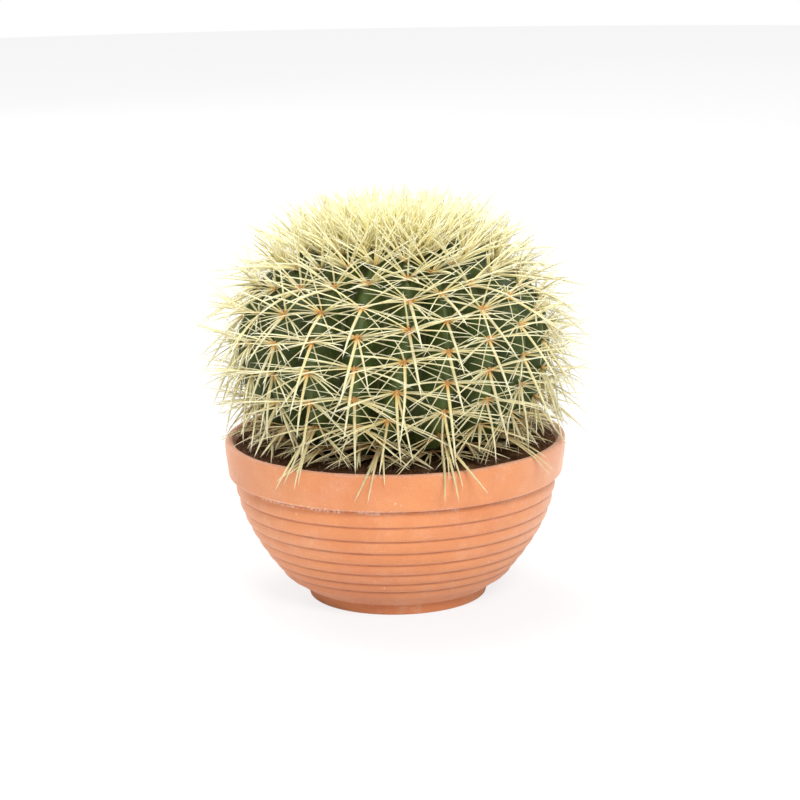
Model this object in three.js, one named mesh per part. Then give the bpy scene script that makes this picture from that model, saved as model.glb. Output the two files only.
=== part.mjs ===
// A golden barrel cactus in a stepped terracotta bowl.
//
// The bowl is one fired piece with a plain rim band, stepped bands below it, a foot ring and a
// drain hole. Potting soil fills it to just under the rim. The ribbed stem stands in the soil on a
// short taproot. Each rib carries one row of areoles, the felted cushions that the spines grow
// from, and the crown is closed by a tuft of wool and young spines.
//
// Millimetres, +Z up, the origin under the middle of the foot. Azimuths are measured from the
// front, -Y, towards +X.

import * as THREE from "three";

// Bowl
const RIM_RADIUS = 140;
const BOWL_HEIGHT = 133.4;
const LIP_ROUNDING = 3;
const RIM_BAND_BOTTOM = 102.8;
const RIM_BAND_TAPER = 2.6; // how much narrower the band is at its lower edge
const STEP_DEPTH = 2.3; // how far each step sets back under the lip above it
const STEP_DROP = 1.5; // height of a step's underside
const STEP_TOPS = [102.8, 89.4, 77.1, 66.1, 55.2, 45.1, 35.5, 27.1];
const FOOT_RADIUS = 74.5;
const FOOT_HEIGHT = 9.2;
const FOOT_RING_WIDTH = 8;
const FOOT_RECESS = 3.2;
const BASE_TOP = 12;
const DRAIN_RADIUS = 8;
const WALL = 6.5;
const BOWL_SIDES = 48;

// Soil
const GAP = 0.4; // between two pieces that touch
const SOIL_TOP = 126;
const SOIL_MOUND = 1.6; // how much higher the soil lies against the stem

// Stem
const RIBS = 21;
const FRONT_RIB = THREE.MathUtils.degToRad(2.5);
const RIB_ANGLE = (2 * Math.PI) / RIBS;
const SIDES_PER_RIB = 4;
const STEM_RADIUS = 126; // to the rib crests, at the widest height
const STEM_WAIST = 212; // the widest height
const STEM_UNDER = 97; // from the widest height down to where the underside would close
const STEM_OVER = 85; // and up to the crown
const UNDER_SQUARENESS = 2.3; // superellipse exponents: 2 is an ellipse, more is boxier
const OVER_SQUARENESS = 2.2;
const VALLEY_DEPTH = 18;
const NECK_RADIUS = 77; // where the stem goes into the soil
const ROOT_TIP = 84;
const CROWN_FLAT = 28; // radius of the flat crown
const CROWN_HEIGHT = 292.6;
const TWIST_PER_MM = THREE.MathUtils.degToRad(0.045); // the ribs lean round as they climb

// Spines
const AREOLES_PER_RIB = 9;
const AREOLE_PITCH = 24.5;
const CROWDING = 3.2; // how fast the pitch shortens in the crown
const AREOLE_LENGTH = 7;
const AREOLE_WIDTH = 6;
const AREOLE_HEIGHT = 2.8;
const CREST_CLEARANCE = 1.1; // the areole row stands this far off the smooth crest curve
const STAGGER = 5 / RIBS; // of a pitch, from one rib to the next
const FRONT_STAGGER = 0.6; // of a pitch, on the front rib
const FIRST_AREOLE = 20; // the least that the lowest areole is along the crest from the soil
const CENTRAL_SPINE = 38;
const UPPER_SPINE = 30;
const RADIAL_SPINE = 28;
const SECTOR = 0.11; // sideways reach of a spine over its distance from the axis
const LOWEST_TIP = 136.5; // the modelled tips stay above the rim
const TUFT_RADIUS = 21;
const TUFT_HALF_HEIGHT = 5;
const TUFT_SPINE = 34;

const terracotta = new THREE.MeshStandardMaterial({ color: 0xe0956a, roughness: 0.85, metalness: 0 });
const soilBrown = new THREE.MeshStandardMaterial({ color: 0x33241b, roughness: 1, metalness: 0 });
const stemGreen = new THREE.MeshStandardMaterial({ color: 0x3f5f3c, roughness: 0.5, metalness: 0 });
const spineYellow = new THREE.MeshStandardMaterial({ color: 0xeee0a0, roughness: 0.55, metalness: 0 });
const woolCream = new THREE.MeshStandardMaterial({ color: 0xeadf9c, roughness: 0.95, metalness: 0 });

// Radius of the bowl's outside, without its steps, at a height between the foot and the rim band.
function bowlRadius(z) {
  const low = { r: 97.3, z: STEP_TOPS.at(-1) };
  const high = { r: 131.2, z: STEP_TOPS[0] };
  const up = (z - low.z) / (high.z - low.z);
  return low.r + (high.r - low.r) * Math.sin((Math.min(Math.max(up, 0), 1) * Math.PI) / 2) ** 0.92;
}

// The rim band and the lip, from the band's lower edge up and over to the inside.
function rimOutline() {
  const lower = RIM_RADIUS - RIM_BAND_TAPER;
  const lip = new THREE.Path();
  const outer = RIM_RADIUS - LIP_ROUNDING;
  lip.absarc(outer, BOWL_HEIGHT - LIP_ROUNDING, LIP_ROUNDING, 0, Math.PI / 2, false);
  lip.lineTo(RIM_RADIUS - WALL + LIP_ROUNDING, BOWL_HEIGHT);
  lip.absarc(RIM_RADIUS - WALL + LIP_ROUNDING, BOWL_HEIGHT - LIP_ROUNDING, LIP_ROUNDING, Math.PI / 2, Math.PI, false);
  return [
    new THREE.Vector2(lower - 2, RIM_BAND_BOTTOM),
    new THREE.Vector2(lower, RIM_BAND_BOTTOM + 3.5),
    new THREE.Vector2(RIM_RADIUS - 0.6, RIM_BAND_BOTTOM + 17),
    ...lip.getPoints(3),
  ];
}

// The stepped bands, from the lowest lip up to the underside of the rim band.
function bandsOutline() {
  const points = [];
  for (let i = STEP_TOPS.length - 1; i >= 0; i--) {
    const lip = bowlRadius(STEP_TOPS[i]) + 1;
    if (i > 0) {
      points.push(new THREE.Vector2(lip - STEP_DEPTH, STEP_TOPS[i] - STEP_DROP));
      points.push(new THREE.Vector2(lip, STEP_TOPS[i]));
      const middle = (STEP_TOPS[i] + STEP_TOPS[i - 1]) / 2;
      points.push(new THREE.Vector2(bowlRadius(middle) - 0.2, middle));
    } else {
      points.push(new THREE.Vector2(lip - STEP_DEPTH, STEP_TOPS[i] - STEP_DROP));
    }
  }
  return points;
}

// The inside of the wall, a little over one wall thickness in from the outside.
function insideOutline(inset) {
  const heights = [118, 104, 90, 76, 62, 50, 38, 28];
  const wall = heights.map((z) => new THREE.Vector2(bowlRadius(z + 1) - WALL - inset, z));
  wall[0].x = RIM_RADIUS - WALL - 1.2 - inset;
  wall[1].x = bowlRadius(104) - WALL + 3 - inset;
  return [...wall, new THREE.Vector2(77 - inset, 18), new THREE.Vector2(60 - inset, BASE_TOP + inset)];
}

function bowl() {
  const outline = [
    new THREE.Vector2(DRAIN_RADIUS, BASE_TOP),
    new THREE.Vector2(DRAIN_RADIUS, FOOT_RECESS),
    new THREE.Vector2(FOOT_RADIUS - FOOT_RING_WIDTH - 3, FOOT_RECESS),
    new THREE.Vector2(FOOT_RADIUS - FOOT_RING_WIDTH - 1.5, 0),
    new THREE.Vector2(FOOT_RADIUS - 2.2, 0),
    new THREE.Vector2(FOOT_RADIUS - 1.2, 1),
    new THREE.Vector2(FOOT_RADIUS, FOOT_HEIGHT),
    new THREE.Vector2(FOOT_RADIUS + 4, FOOT_HEIGHT + 0.6),
    new THREE.Vector2(88.4, 16.8),
    new THREE.Vector2(91, 18.2),
    ...bandsOutline(),
    ...rimOutline(),
    ...insideOutline(0),
    new THREE.Vector2(DRAIN_RADIUS, BASE_TOP),
  ];
  return upright("terracotta_bowl", new THREE.LatheGeometry(outline, BOWL_SIDES), terracotta);
}

// The taproot's outline, from the neck under the stem down to the tip; the soil's socket is wider.
function rootOutline(wider) {
  return [
    new THREE.Vector2(NECK_RADIUS + wider, SOIL_TOP + SOIL_MOUND + 0.6),
    new THREE.Vector2(NECK_RADIUS - 9 + wider, SOIL_TOP - 6),
    new THREE.Vector2(38 + wider, SOIL_TOP - 18),
    new THREE.Vector2(12 + wider, SOIL_TOP - 32),
    new THREE.Vector2(0, ROOT_TIP - wider * 2),
  ];
}

function soil() {
  const neck = rootOutline(GAP);
  neck[0].y = SOIL_TOP + SOIL_MOUND;
  const outline = [
    new THREE.Vector2(0, BASE_TOP + GAP),
    ...insideOutline(GAP).reverse().slice(0, -1),
    new THREE.Vector2(RIM_RADIUS - WALL - 1.2 - GAP, SOIL_TOP - 6),
    new THREE.Vector2(RIM_RADIUS - WALL - 1.6 - GAP, SOIL_TOP),
    new THREE.Vector2(104, SOIL_TOP + SOIL_MOUND),
    ...neck,
  ];
  return upright("potting_soil", new THREE.LatheGeometry(outline, BOWL_SIDES), soilBrown);
}

// The rib crest as a curve in the XZ plane, from the soil out, up and over to the crown.
function crestCurve() {
  const points = [];
  const steps = 40;
  const start = -0.95;
  const end = 1.42;
  for (let i = 0; i <= steps; i++) {
    const angle = start + ((end - start) * i) / steps;
    const under = angle < 0;
    const power = 2 / (under ? UNDER_SQUARENESS : OVER_SQUARENESS);
    const rise = (under ? -STEM_UNDER : STEM_OVER) * Math.abs(Math.sin(angle)) ** power;
    points.push(new THREE.Vector3(STEM_RADIUS * Math.cos(angle) ** power, 0, STEM_WAIST + rise));
  }
  return new THREE.CatmullRomCurve3(points);
}

const crest = crestCurve();
const CREST_LENGTH = crest.getLength();

// How deep the valley between two ribs is, where the crest stands at radius r and height z.
function valleyDepth(r, z) {
  const wide = Math.min(r / STEM_RADIUS, 1);
  const aboveSoil = THREE.MathUtils.smoothstep(z, SOIL_TOP + 2, SOIL_TOP + 22);
  return VALLEY_DEPTH * wide ** 1.6 * aboveSoil;
}

const twistAt = (z) => TWIST_PER_MM * (z - STEM_WAIST);

function stem() {
  const rows = 15;
  const outline = rootOutline(0).reverse();
  for (let i = 0; i <= rows; i++) {
    const p = crest.getPointAt(i / rows);
    if (p.x > CROWN_FLAT + 4) outline.push(new THREE.Vector2(p.x, p.z));
  }
  outline.push(new THREE.Vector2(CROWN_FLAT, CROWN_HEIGHT), new THREE.Vector2(0, CROWN_HEIGHT - 1.5));
  const geometry = new THREE.LatheGeometry(outline, RIBS * SIDES_PER_RIB);
  geometry.rotateX(Math.PI / 2);
  const position = geometry.attributes.position;
  const side = RIB_ANGLE / SIDES_PER_RIB;
  for (let i = 0; i < position.count; i++) {
    const x = position.getX(i);
    const y = position.getY(i);
    const z = position.getZ(i);
    const r = Math.hypot(x, y);
    const corner = Math.round(Math.atan2(y, x) / side);
    const fromCrest = Math.abs((((corner % SIDES_PER_RIB) + SIDES_PER_RIB) % SIDES_PER_RIB) - SIDES_PER_RIB / 2);
    const share = 1 - fromCrest / (SIDES_PER_RIB / 2);
    const inward = valleyDepth(r, z) * (share === 1 ? 1 : share * 0.8);
    const angle = corner * side + twistAt(z);
    position.setXY(i, (r - inward) * Math.cos(angle), (r - inward) * Math.sin(angle));
  }
  const mesh = new THREE.Mesh(geometry, stemGreen);
  mesh.name = "stem";
  mesh.rotation.z = FRONT_RIB - Math.PI / 2;
  return mesh;
}

// How far along the crest an areole starts. The young ones in the crown crowd together.
function areoleStart(first, index) {
  return first + AREOLE_PITCH * index - CROWDING * Math.max(0, index - 5) ** 2;
}

// Steps along one rib's row of areoles: a short step over each areole, then a long one to the next.
class AreoleRow extends THREE.Curve {
  constructor(first) {
    super();
    this.first = first;
  }
  getUtoTmapping(u) {
    return u;
  }
  getPoint(t, target = new THREE.Vector3()) {
    const step = t * (2 * AREOLES_PER_RIB - 1);
    const index = Math.floor(step / 2);
    const start = areoleStart(this.first, index);
    const end = start + AREOLE_LENGTH;
    const next = areoleStart(this.first, index + 1);
    const within = step - 2 * index;
    const along = within < 1 ? start + within * AREOLE_LENGTH : end + (within - 1) * (next - end);
    return crest.getPointAt(along / CREST_LENGTH, target);
  }
}

// Draws chosen faces of a mesh out into spines: each becomes a three-sided spike to its tip.
function drawOut(geometry, tipOf) {
  const source = geometry.index ? geometry.toNonIndexed() : geometry;
  const position = source.attributes.position;
  const drawn = [];
  const corner = (i) => new THREE.Vector3().fromBufferAttribute(position, i);
  for (let i = 0; i < position.count; i += 3) {
    const [a, b, c] = [corner(i), corner(i + 1), corner(i + 2)];
    const normal = new THREE.Triangle(a, b, c).getNormal(new THREE.Vector3());
    const middle = new THREE.Vector3().add(a).add(b).add(c).divideScalar(3);
    const tip = tipOf(middle, normal);
    if (tip) drawn.push(a, b, tip, b, c, tip, c, a, tip);
    else drawn.push(a, b, c);
  }
  return new THREE.BufferGeometry().setFromPoints(drawn);
}

// Where the spine on one face of an areole ends, or null for a face that carries none.
function areoleTip(middle, normal, first) {
  for (let i = 0; i < AREOLES_PER_RIB; i++) {
    const u = (areoleStart(first, i) + AREOLE_LENGTH / 2) / CREST_LENGTH;
    const centre = crest.getPointAt(u);
    const up = crest.getTangentAt(u);
    const out = new THREE.Vector3(up.z, 0, -up.x);
    const away = middle.clone().sub(centre);
    if (Math.abs(away.dot(up)) > AREOLE_LENGTH / 2 || Math.abs(normal.dot(up)) > 0.5) continue;
    if (normal.dot(out) < -0.2) return null;
    const upper = away.dot(up) > 0;
    const sideways = Math.sign(middle.y);
    const radial = normal.dot(out) < 0.5;
    const way = new THREE.Vector3();
    if (radial) way.addScaledVector(out, 0.5).addScaledVector(up, upper ? 0.34 : -0.3);
    else way.addScaledVector(out, 1).addScaledVector(up, upper ? 0.5 : -0.42);
    way.y = sideways * (radial ? 0.8 : 0.14);
    const length = radial ? RADIAL_SPINE : upper ? UPPER_SPINE : CENTRAL_SPINE;
    const tip = middle.clone().addScaledVector(way.normalize(), length);
    const reach = SECTOR * tip.x;
    tip.y = THREE.MathUtils.clamp(tip.y, -reach, reach);
    tip.z = Math.max(tip.z, LOWEST_TIP);
    return tip;
  }
  return null;
}

// One rib's row: the felted crest line with its areoles, and the spines drawn out of each.
function ribSpines(index) {
  const first = FIRST_AREOLE + AREOLE_PITCH * ((index * STAGGER + FRONT_STAGGER) % 1);
  const half = AREOLE_WIDTH / 2;
  const section = new THREE.Shape([
    new THREE.Vector2(-half, CREST_CLEARANCE),
    new THREE.Vector2(half, CREST_CLEARANCE),
    new THREE.Vector2(half * 0.75, CREST_CLEARANCE + AREOLE_HEIGHT * 0.6),
    new THREE.Vector2(0, CREST_CLEARANCE + AREOLE_HEIGHT),
    new THREE.Vector2(-half * 0.75, CREST_CLEARANCE + AREOLE_HEIGHT * 0.6),
  ]);
  const row = new THREE.ExtrudeGeometry(section, {
    steps: 2 * AREOLES_PER_RIB - 1,
    extrudePath: new AreoleRow(first),
  });
  const geometry = drawOut(row, (middle, normal) => areoleTip(middle, normal, first));
  const position = geometry.attributes.position;
  for (let i = 0; i < position.count; i++) {
    const point = new THREE.Vector3().fromBufferAttribute(position, i);
    point.applyAxisAngle(new THREE.Vector3(0, 0, 1), twistAt(point.z));
    position.setXYZ(i, point.x, point.y, point.z);
  }
  const mesh = new THREE.Mesh(geometry, spineYellow);
  mesh.name = `rib_${String(index + 1).padStart(2, "0")}_spines`;
  mesh.rotation.z = FRONT_RIB + index * RIB_ANGLE - Math.PI / 2;
  return mesh;
}

// The woolly cushion in the middle of the crown, with its young spines.
function crownTuft() {
  const cushion = new THREE.IcosahedronGeometry(1, 1);
  cushion.scale(TUFT_RADIUS, TUFT_RADIUS, TUFT_HALF_HEIGHT);
  const geometry = drawOut(cushion, (middle, normal) => {
    if (normal.z < 0.3) return null;
    const outward = new THREE.Vector3(middle.x, middle.y, 0).divideScalar(TUFT_RADIUS);
    return middle.clone().addScaledVector(outward.setZ(2.4).normalize(), TUFT_SPINE);
  });
  const mesh = new THREE.Mesh(geometry, woolCream);
  mesh.name = "crown_tuft";
  mesh.position.z = CROWN_HEIGHT + TUFT_HALF_HEIGHT + GAP;
  return mesh;
}

// A turned piece: its lathe axis is stood up along +Z.
function upright(name, geometry, material) {
  geometry.rotateX(Math.PI / 2);
  const mesh = new THREE.Mesh(geometry, material);
  mesh.name = name;
  return mesh;
}

const cactus = new THREE.Group();
cactus.add(bowl(), soil(), stem(), crownTuft());
for (let index = 0; index < RIBS; index++) cactus.add(ribSpines(index));

export default cactus;
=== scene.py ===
"""A golden barrel cactus in a stepped terracotta bowl.

Builds the bowl, the soil, the ribbed stem with its areoles and spines, the woolly crown and a
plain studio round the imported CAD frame. Metres, +Z up, the front towards -Y. An azimuth is an
angle from the front, -Y, towards +X. The bowl's rim and height and the soil's level come from
the CAD frame's boxes.
"""

import math
import random

import bmesh
import bpy
from bpy.props import FloatProperty, FloatVectorProperty, IntProperty, PointerProperty
from mathutils import Matrix, Vector, noise


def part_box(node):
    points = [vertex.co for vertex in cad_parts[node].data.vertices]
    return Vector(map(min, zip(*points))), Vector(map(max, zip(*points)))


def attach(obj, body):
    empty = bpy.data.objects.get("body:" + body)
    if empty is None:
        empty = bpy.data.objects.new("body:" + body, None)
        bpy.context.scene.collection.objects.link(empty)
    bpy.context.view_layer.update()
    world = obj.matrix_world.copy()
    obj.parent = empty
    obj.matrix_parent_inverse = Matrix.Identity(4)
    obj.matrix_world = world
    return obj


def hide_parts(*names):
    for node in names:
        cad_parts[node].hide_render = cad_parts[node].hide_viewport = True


bl_info = {
    "name": "Barrel cactus in a bowl",
    "version": (1, 0, 0),
    "blender": (4, 5, 0),
    "location": "3D View > Sidebar > Cactus",
    "description": "Builds a ribbed barrel cactus in a stepped terracotta bowl",
    "category": "Add Mesh",
}

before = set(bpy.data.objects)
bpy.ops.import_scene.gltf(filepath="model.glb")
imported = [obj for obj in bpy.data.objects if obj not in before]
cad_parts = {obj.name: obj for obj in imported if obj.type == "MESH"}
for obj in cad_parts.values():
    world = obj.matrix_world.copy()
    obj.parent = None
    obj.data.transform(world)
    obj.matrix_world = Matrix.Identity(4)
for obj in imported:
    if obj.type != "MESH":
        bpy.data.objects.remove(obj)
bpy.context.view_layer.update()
BOWL_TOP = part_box("terracotta_bowl")[1]
SOIL_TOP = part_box("potting_soil")[1]

MM = 0.001
SEED = 21
UP = Vector((0, 0, 1))


# ---------------- sizes and colours


def length(name, description, default):
    """A property for a length in metres."""
    settings = {"unit": "LENGTH", "precision": 4, "default": default}
    return FloatProperty(name=name, description=description, **settings)


def angle(name, description, degrees):
    """A property for an angle, with its default in degrees."""
    settings = {"subtype": "ANGLE", "unit": "ROTATION", "default": math.radians(degrees)}
    return FloatProperty(name=name, description=description, **settings)


def colour(name, description, default):
    """A property for a linear colour."""
    return FloatVectorProperty(
        name=name, description=description, default=default, subtype="COLOR", size=3, min=0, max=1
    )


class BowlSizes(bpy.types.PropertyGroup):
    """Sizes and colours of the terracotta bowl"""

    rim_radius: length("Rim radius", "Outside of the rim band", BOWL_TOP.x)
    height: length("Height", "From the foot to the lip", BOWL_TOP.z)
    wall: length("Wall", "Thickness of the wall at the rim", 6.5 * MM)
    band_bottom: length("Band bottom", "Height of the rim band's lower edge", 102.8 * MM)
    step_depth: length("Step depth", "How far a band sets back under the lip above it", 2.3 * MM)
    foot_radius: length("Foot radius", "Outside of the foot ring", 74.5 * MM)
    foot_height: length("Foot height", "Height of the foot ring", 9.2 * MM)
    drain_radius: length("Drain radius", "Radius of the drain hole", 8 * MM)
    clay: colour("Clay", "Fired terracotta", (0.70, 0.280, 0.114))
    deep_clay: colour("Deep clay", "Darker, redder firing", (0.61, 0.218, 0.090))
    # painted shade: a darker clay under each step's lip stands in for the shade there
    painted_step_shade: colour("Groove", "Clay in the shade of each step", (0.33, 0.085, 0.032))
    # lime on the clay, also used for the painted highlight on the lip and the painted light on the
    # right side
    lime_and_painted_light: colour("Dust", "Lime bloom on the clay", (0.80, 0.60, 0.50))


class SoilSizes(bpy.types.PropertyGroup):
    """Level, grains and colours of the potting mix"""

    surface: length("Surface", "Height of the soil near the wall", SOIL_TOP.z - 1.6 * MM)
    mound: length("Mound", "How much higher the soil lies against the stem", 2.5 * MM)
    crumbs: IntProperty(name="Crumbs", description="Loose crumbs on the surface", default=1500)
    grit: IntProperty(name="Grit", description="Pale grains on the surface", default=440)
    peat: colour("Peat", "Moist potting mix", (0.050, 0.019, 0.007))
    dry_peat: colour("Dry peat", "Dry crumbs", (0.20, 0.095, 0.042))
    stone: colour("Stone", "Pale grit", (0.46, 0.36, 0.32))


class StemSizes(bpy.types.PropertyGroup):
    """Form and colours of the ribbed stem"""

    ribs: IntProperty(name="Ribs", description="Number of ribs", default=21, min=5)
    radius: length("Radius", "To the rib crests, at the widest height", 126 * MM)
    waist: length("Waist", "The widest height", 212 * MM)
    under: length("Under", "From the waist down to where the underside would close", 97 * MM)
    over: length("Over", "From the waist up to the crown", 85 * MM)
    valley: length("Valley", "Depth between two ribs at the waist", 19 * MM)
    pitch: length("Pitch", "Along a rib from one areole to the next", 24.5 * MM)
    front: angle("Front rib", "Azimuth of the front rib", 2.6)
    # painted shade: the darker green of the valleys stands in for the shade in them
    shade: colour("Shade green", "Skin in the valleys", (0.034, 0.040, 0.007))
    green: colour("Green", "Skin of the flanks", (0.044, 0.071, 0.014))
    # painted highlight: the paler green along the crests stands in for the light they catch
    crest: colour("Crest green", "Paler skin along the crests", (0.092, 0.128, 0.034))
    fleck: colour("Fleck", "Pale flecks and smears on the skin", (0.22, 0.25, 0.08))
    dot: colour("Dot", "Small grey-green dots on the skin", (0.42, 0.46, 0.36))
    cork: colour("Cork", "Old bark at the base", (0.075, 0.045, 0.024))


class SpineSizes(bpy.types.PropertyGroup):
    """Lengths, widths and colours of the spines, felt and wool"""

    central: length("Central", "Length of an areole's long lower spine", 61 * MM)
    lateral: length("Lateral", "Length of its side central spines", 56 * MM)
    radial: length("Radial", "Length of the fine spines round its edge", 44 * MM)
    hanging: length("Hanging", "Length of the spines that hang over the rim", 70 * MM)
    stout: length("Stout", "Width of a central spine at its base", 2.3 * MM)
    fine: length("Fine", "Width of a radial spine at its base", 1.25 * MM)
    straw: colour("Straw", "Grown spines", (0.745, 0.70, 0.44))
    young: colour("Young yellow", "Young spines in the crown", (0.97, 0.90, 0.53))
    # partly the spines' own gold, partly painted warm light bounced between them
    gold: colour("Gold", "The lower part of each spine", (0.77, 0.64, 0.29))
    base: colour("Base orange", "The foot of each spine", (0.84, 0.43, 0.10))
    old: colour("Old brown", "Weathered spines near the soil", (0.42, 0.22, 0.08))
    felt: colour("Felt", "Felt of the areoles", (0.76, 0.37, 0.10))
    wool: colour("Wool", "Wool of the crown", (0.88, 0.80, 0.48))


class StudioSizes(bpy.types.PropertyGroup):
    """The camera and the paper that the bowl stands on"""

    lens: FloatProperty(name="Lens", description="Focal length in millimetres", default=126)
    distance: length("Distance", "From the camera to its target", 2.3)
    elevation: angle("Elevation", "Height angle of the camera", 12.9)
    roll: angle("Roll", "Tilt of the camera", -0.94)
    aim: FloatVectorProperty(
        name="Aim", description="What the camera points at", default=(0.00446, 0, 0.1617),
        size=3, subtype="XYZ", unit="LENGTH",
    )
    paper: colour("Paper", "Floor and backdrop", (0.92, 0.92, 0.93))


# ---------------- materials


class Value:
    """A number that a node gives, with arithmetic that adds Math nodes."""

    def __init__(self, finish, socket):
        self.finish, self.socket = finish, socket

    def _math(self, operation, *inputs, clamp=False):
        settings = {"operation": operation, "use_clamp": clamp}
        return self.finish.node("ShaderNodeMath", settings, dict(enumerate(inputs)))

    def __add__(self, other):
        return self._math("ADD", self, other)

    def __sub__(self, other):
        return self._math("SUBTRACT", self, other)

    def __rsub__(self, other):
        return self._math("SUBTRACT", other, self)

    def __mul__(self, other):
        return self._math("MULTIPLY", self, other)

    __radd__ = __add__
    __rmul__ = __mul__

    def clamped(self):
        return self._math("ADD", self, 0.0, clamp=True)

    def between(self, low, high):
        """0 below low, 1 above high and smooth between; falls instead if low is the larger."""
        settings = {"interpolation_type": "SMOOTHSTEP"}
        inputs = {"Value": self, "From Min": low, "From Max": high}
        return self.finish.node("ShaderNodeMapRange", settings, inputs)

    def band(self, at, offsets):
        """1 near a height and 0 away from it; offsets in mm: start, full, start to fade, gone."""
        start, full, fade, gone = (at + offset * MM for offset in offsets)
        return self.between(start, full) * self.between(gone, fade)


class Finish:
    """A node material, built from the surface's Object coordinates and attributes."""

    def __init__(self, name):
        self.material = bpy.data.materials.new(name)
        self.material.use_nodes = True
        self.tree = self.material.node_tree
        self.tree.nodes.clear()
        self.place = self.node("ShaderNodeTexCoord", output="Object")

    def node(self, kind, settings=None, inputs=None, output=0):
        """Adds a node, sets it up, joins its sockets, and gives one of its outputs."""
        made = self.tree.nodes.new(kind)
        for name, value in (settings or {}).items():
            setattr(made, name, value)
        for key, value in (inputs or {}).items():
            if isinstance(value, Value):
                self.tree.links.new(value.socket, made.inputs[key])
            elif made.inputs[key].type == "RGBA":
                made.inputs[key].default_value = (*value[:3], 1)
            else:
                made.inputs[key].default_value = value
        return Value(self, made.outputs[output])

    def noise(self, scale, detail=3, rough=0.55, stretch=(1, 1, 1), shift=0.0):
        """Noise with about this many lumps to a metre."""
        moved = {"Vector": self.place, "Scale": stretch, "Location": (shift, shift, shift)}
        at = self.node("ShaderNodeMapping", {}, moved)
        inputs = {"Vector": at, "Scale": scale, "Detail": detail, "Roughness": rough}
        return self.node("ShaderNodeTexNoise", {}, inputs)

    def cells(self, scale):
        """Distance to the middle of the nearest of about this many cells to a metre."""
        inputs = {"Vector": self.place, "Scale": scale}
        return self.node("ShaderNodeTexVoronoi", {}, inputs, "Distance")

    def axis(self, name):
        """The surface's X, Y or Z in metres."""
        return self.node("ShaderNodeSeparateXYZ", {}, {0: self.place}, name)

    def attribute(self, name):
        return self.node("ShaderNodeAttribute", {"attribute_name": name}, {}, "Fac")

    def mix(self, amount, under, over):
        """A colour that goes from under to over as amount goes from 0 to 1."""
        return self.node("ShaderNodeMix", {"data_type": "RGBA"}, {0: amount, 6: under, 7: over}, 2)

    def scaled(self, shade, amount):
        """A colour made lighter or darker by a factor that may vary."""
        settings = {"operation": "SCALE"}
        return self.node("ShaderNodeVectorMath", settings, {0: shade, "Scale": amount})

    def bump(self, height, distance, strength):
        inputs = {"Height": height, "Distance": distance, "Strength": strength}
        return self.node("ShaderNodeBump", {}, inputs, "Normal")

    def principled(self, **inputs):
        """A Principled shader; in the names of its inputs an underscore stands for a space."""
        named = {key.replace("_", " "): value for key, value in inputs.items()}
        return self.node("ShaderNodeBsdfPrincipled", {}, named, "BSDF")

    def ends(self, shader):
        """The material, with this shader as its surface."""
        end = self.tree.nodes.new("ShaderNodeOutputMaterial")
        self.tree.links.new(shader.socket, end.inputs["Surface"])
        return self.material

    def surface(self, **inputs):
        """The material, with a Principled shader as its surface."""
        return self.ends(self.principled(**inputs))


# Offsets in mm from a step's lip of the painted shade under it, and of the lime from the rim band's
# lower edge
PAINTED_SHADE_UNDER_LIPS = (-3.4, -1.5, -0.6, -0.1)
RIM_CRUST = (-4.5, -2.4, 0.5, 2.2)


def terracotta(sizes):
    """Mottled clay, limy under the rim band and on lip and foot, with painted shade under each step and
    painted light on the lip and the right side.
    """
    clay = Finish("terracotta")
    z = clay.axis("Z")
    cloud = clay.noise(16, 4).between(0.34, 0.66)
    mottle = clay.noise(70, 4, 0.6, shift=3.0).between(0.3, 0.7)
    grain = clay.noise(1100, 2, 0.6)
    turning = clay.noise(24, 3, 0.6, stretch=(0.15, 0.15, 22)).between(0.25, 0.75)
    patches = clay.noise(38, 7, 0.68, shift=7.0)
    firing = cloud * 0.55 + mottle * 0.25 + turning * 0.15
    shade = clay.mix(firing, sizes.deep_clay, sizes.clay)
    shade = clay.scaled(shade, grain.between(0.2, 0.8) * 0.16 + 0.92)
    # painted shade: a darker band under each step's lip
    painted_step_shade = 0.0
    for step in (*STEP_HEIGHTS, sizes.band_bottom):
        painted_step_shade = z.band(step, PAINTED_SHADE_UNDER_LIPS) + painted_step_shade
    under_rim = z.band(sizes.band_bottom, RIM_CRUST)
    foot = z.between(0.022, 0.002)
    # the lip is paler: partly lime, partly a painted highlight
    lip = z.between(sizes.height - 2.4 * MM, sizes.height - 0.6 * MM)
    bloom_and_lip_highlight = patches.between(0.46, 0.68) * (under_rim * 0.9 + foot * 0.6 + 0.25) + lip * 0.45
    fine_bloom = clay.noise(420, 4, 0.7, shift=1.0).between(0.42, 0.7)
    bloom_and_lip_highlight = (bloom_and_lip_highlight * (fine_bloom * 0.75 + 0.25)).clamped()
    chips = clay.cells(150).between(0.15, 0.08) * clay.noise(60, 2, shift=5.0).between(0.56, 0.66)
    shade = clay.mix((bloom_and_lip_highlight * 0.85 + chips * 0.6).clamped(), shade, sizes.lime_and_painted_light)
    across = clay.axis("X")
    # painted light: the right side is paled toward the lime colour, as if lit harder
    painted_light_on_right = across.between(0.09, 0.145) * 0.18
    shade = clay.mix(painted_light_on_right, shade, sizes.lime_and_painted_light)
    # painted shade under each step, patchy with the mottle
    shade = clay.mix(painted_step_shade * (mottle * 0.35 + 0.4), shade, sizes.painted_step_shade)
    more_to_the_left = across.between(0.01, -0.06) * 0.9 + 0.1
    crust = under_rim * more_to_the_left * patches.between(0.38, 0.52)
    shade = clay.mix((crust * fine_bloom * 1.6).clamped(), shade, sizes.lime_and_painted_light)
    height = grain * 0.35 + clay.noise(260, 5, 0.6) * 0.5 + turning * 0.35 - chips * 0.4
    return clay.surface(
        Base_Color=shade,
        Roughness=0.68 + bloom_and_lip_highlight * 0.2,
        Normal=clay.bump(height, 0.35 * MM, 0.5),
        Specular_IOR_Level=0.25,
        Sheen_Weight=0.38,
        Sheen_Roughness=0.5,
        Sheen_Tint=(1.0, 0.86, 0.76),
    )


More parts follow.
